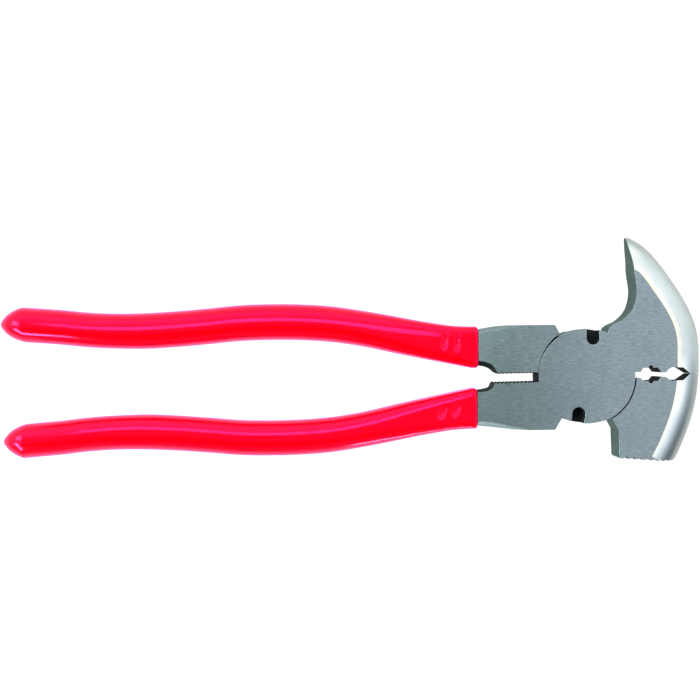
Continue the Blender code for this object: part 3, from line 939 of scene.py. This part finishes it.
def polished_steel(grain):
    """The rim's bevel, with painted reflections: its colour bands follow the distance in from the head's outer
    edge.
    """
    made, tree, shader = blank_material("polished_rim", Metallic=1.0)
    lines, mottle = grains(tree, grain, 1800.0, 6.0, 160.0)
    inset = tree.nodes.new("ShaderNodeAttribute")
    inset.attribute_name = RIM_INSET
    upper, lower, point = (ramp(tree, inset.outputs["Fac"], tone)
                           for tone in (RIM_PAINTED_REFLECTION_UPPER, RIM_PAINTED_REFLECTION_LOWER, RIM_PAINTED_REFLECTION_TIP))
    axes = texture_place(tree, "Object")[1]
    # down and tip blend the painted reflection bands of the upper jaw, the lower jaw and the pick's point by Y.
    down = math_node(tree, "MULTIPLY_ADD", axes["Y"], -83.0, -0.07)
    tip = math_node(tree, "MULTIPLY_ADD", axes["Y"], 110.0, -3.1)
    for share in (down, tip):
        share.node.use_clamp = True
    painted_reflection_band = tint(tree, "MIX", tip, tint(tree, "MIX", down, upper, lower), point)
    patch = ramp(tree, mottle, ((0.3, (0.95, 0.95, 0.96)), (0.7, (1.05, 1.05, 1.04))))
    shader_inputs(tree, shader,
                  Base_Color=tint(tree, "MULTIPLY", 1.0, painted_reflection_band, patch),
                  Roughness=math_node(tree, "MULTIPLY_ADD", lines, 0.10, 0.12),
                  Normal=bump(tree, mottle, 0.10, 0.0001))
    return made


def side_steel(grain):
    """The forged walls, duller and darker than the faces."""
    made, tree, shader = blank_material("side_steel", Metallic=1.0, Specular_Tint=(0.44, 0.54, 0.52, 1.0))
    lines, mottle = grains(tree, grain, 1500.0, 3.0, 200.0)
    shader_inputs(tree, shader,
                  Base_Color=ramp(tree, mottle, ((0.3, (0.088, 0.119, 0.114)), (0.7, (0.140, 0.172, 0.166)))),
                  Roughness=math_node(tree, "MULTIPLY_ADD", lines, 0.25, 0.38),
                  Normal=bump(tree, mottle, 0.25, 0.0002))
    return made


def painted_shade_black(grain):
    """Painted shade: a near-black colour for the notches, slot, pockets and joint, where shade falls."""
    made, tree, shader = blank_material("painted_shade_black", Metallic=0.0, Specular_IOR_Level=0.06)
    mottle = grains(tree, grain, 1500.0, 3.0, 500.0)[1]
    shader_inputs(tree, shader,
                  Base_Color=ramp(tree, mottle, ((0.3, (0.005, 0.008, 0.009)), (0.7, (0.018, 0.025, 0.027)))),
                  Roughness=math_node(tree, "MULTIPLY_ADD", mottle, 0.25, 0.6),
                  Normal=bump(tree, mottle, 0.3, 0.0002))
    return made


def dipped_vinyl(grain):
    """Glossy dipped grips, with a soft glow towards their edges."""
    made, tree, shader = blank_material("dipped_vinyl", Specular_IOR_Level=0.42,
                                        Specular_Tint=(1.0, 0.11, 1.0, 1.0), Sheen_Weight=0.78,
                                        Sheen_Roughness=0.34, Sheen_Tint=(0.55, 0.03, 1.0, 1.0))
    lines, mottle = grains(tree, grain, 120.0, 8.0, 260.0)
    shader_inputs(tree, shader,
                  Base_Color=ramp(tree, mottle, ((0.3, (0.95, 0.0, 0.0)), (0.7, (1.0, 0.0, 0.002)))),
                  Roughness=math_node(tree, "MULTIPLY_ADD", mottle, 0.06, 0.10),
                  Normal=bump(tree, lines, 0.05, 0.0002))
    return made


# ---------------------------------------------------------------- stage

# The tent's light by the height of the direction it comes from, as parts of TENT_STRENGTH
TENT_STRENGTH = 2.25
TENT = ((0.0, (0.32, 0.37, 0.38)), (0.2, (0.40, 0.45, 0.47)), (0.5, (0.93, 0.98, 1.0)),
        (0.76, (1.0, 1.0, 0.98)), (0.87, (0.60, 0.61, 0.62)), (0.95, (0.26, 0.28, 0.29)),
        (1.0, (0.23, 0.25, 0.26)))

# Its shade from the hammer's side (0) over the middle (0.5) to the pick's side (1)
TENT_SIDES = ((0.0, (0.22, 0.24, 0.25)), (0.2, (0.36, 0.39, 0.41)), (0.42, (0.88, 0.89, 0.90)),
              (0.5, (0.95, 0.95, 0.95)), (0.95, (1.25, 1.22, 1.18)))

# The dark opening that the handles' lower flanks mirror
OPENING_CENTRE = (-0.18, -0.62, 0.76)
OPENING = ((0.30, (0.04, 0.04, 0.05)), (0.52, (1.0, 1.0, 1.0)))

# Area lights: place, the point they face, size, power, colour
WHITE = (1, 1, 1)
PALE_GREEN = (0.5, 1.0, 0.75)
TIPS = (-0.13, -0.01, 0.007)
LIGHTS = {
    "strip_over": ((-0.055, 0.049, 0.177), (-0.055, 0.0, 0.0), (0.21, 0.055), 0.23, WHITE),
    "edge_strip": ((0.032, -0.0900, 0.008), (0.022, -0.0310, 0.010), (0.05, 0.010), 0.03, WHITE),
    "tip_box_high": ((-0.244, 0.030, 0.116), TIPS, (0.06, 0.085), 0.17, PALE_GREEN),
    "tip_box_low": ((-0.215, -0.100, 0.090), TIPS, (0.13, 0.035), 0.45, PALE_GREEN),
}

# Camera: its place from the rivet's centre, its lens and sensor in millimetres, its turn in degrees
CAMERA_PLACE = (-89.3, 10.9, 432.0)
CAMERA_LENS = 57.92
CAMERA_SENSOR = 36.0
CAMERA_TURN = -0.68


def floor_plane():
    """The pale bench just under the tool."""
    mesh = bpy.data.meshes.new("bench_top")
    work = bmesh.new()
    bmesh.ops.create_grid(work, x_segments=1, y_segments=1, size=3.0)
    work.to_mesh(mesh)
    work.free()
    made = new_object("bench_top", mesh)
    made.location.z = -0.0002
    paint, tree, shader = blank_material("pale_bench", Base_Color=(0.05, 0.05, 0.05, 1), Roughness=0.9,
                                         Specular_IOR_Level=0.1, Emission_Strength=1.08)
    shader.inputs["Emission Color"].default_value = (1, 1, 1, 1)
    mesh.materials.append(paint)


def area_light(name, place, target, size, power, colour):
    """A soft box that faces a point."""
    data = bpy.data.lights.new(name, "AREA")
    data.shape = "RECTANGLE"
    data.size, data.size_y = size
    data.energy = power
    data.color = colour
    made = new_object(name, data)
    made.location = place
    made.rotation_euler = (Vector(target) - Vector(place)).to_track_quat("-Z", "Y").to_euler()


def studio():
    """A white tent: dim overhead, bright from a third of the way down, shaded on the hammer's side."""
    world = bpy.data.worlds.new("white_tent")
    bpy.context.scene.world = world
    world.use_nodes = True
    tree = world.node_tree
    where, axes = texture_place(tree, "Generated")
    tent = ramp(tree, axes["Z"], TENT)
    low = math_node(tree, "SUBTRACT", 1.0, axes["Z"])
    side = math_node(tree, "ADD", math_node(tree, "MULTIPLY", axes["Y"], low), 0.5)
    shade = ramp(tree, side, TENT_SIDES)
    opening = tree.nodes.new("ShaderNodeVectorMath")
    opening.operation = "DISTANCE"
    opening.inputs[1].default_value = OPENING_CENTRE
    tree.links.new(where, opening.inputs[0])
    dark = ramp(tree, opening.outputs["Value"], OPENING)
    tent = tint(tree, "MULTIPLY", 1.0, tint(tree, "MULTIPLY", 1.0, tent, shade), dark)
    feed(tree, tree.nodes["Background"].inputs["Color"], tent)
    feed(tree, tree.nodes["Background"].inputs["Strength"], TENT_STRENGTH)
    for name, values in LIGHTS.items():
        area_light(name, *values)


def camera():
    """Straight above, looking down."""
    data = bpy.data.cameras.new("camera")
    data.sensor_width = CAMERA_SENSOR
    data.lens = CAMERA_LENS
    made = new_object("camera", data)
    made.location = RIVET + Vector(CAMERA_PLACE) * MM
    made.rotation_euler = (0, 0, math.radians(CAMERA_TURN))
    bpy.context.scene.camera = made


# ---------------------------------------------------------------- assembly

def main():
    """Builds the five pieces, puts each on its body and sets the stage."""
    grain = brushed_group()
    steel = [ground_steel(grain), polished_steel(grain), side_steel(grain), painted_shade_black(grain)]
    vinyl = dipped_vinyl(grain)
    tree = groove_row_tree()

    pick_rows = [slot_row(tree, "slot_low", SLOT_BOTTOM_LEFT, SLOT_BOTTOM)]
    pick = forging("pick_forging", pick_outline(), 1, pick_rows, steel)
    hammer_rows = slot_edges(tree) + [slot_row(tree, "slot_high", SLOT_TOP, SLOT_TOP)] + waffle_rows(tree)
    hammer = forging("hammer_forging", hammer_outline(), -1, hammer_rows, steel)
    rivet = turned("flush_rivet", rivet_profile(0))
    rivet.data.materials.append(steel[GROUND])
    rivet.data.shade_smooth()
    rivet.data.set_sharp_from_angle(angle=SHARP_ANGLE)
    rivet.data.transform(PLACE)
    for piece, node, body, slot in ((pick, "pick_half", "pick_side", "steel"),
                                    (hammer, "hammer_half", "hammer_side", "steel"),
                                    (rivet, "pivot_rivet", "pick_side", "steel")):
        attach(piece, body)
        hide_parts(node)
    for name, side, body in (("upper_grip", 1, "hammer_side"), ("lower_grip", -1, "pick_side")):
        sleeve = grip(name.replace("_grip", "_sleeve"), side)
        sleeve.data.materials.append(vinyl)
        sleeve.data.shade_smooth()
        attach(sleeve, body)
        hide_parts(name)
    floor_plane()
    studio()
    camera()
    bpy.context.scene.view_settings.view_transform = "Standard"


main()
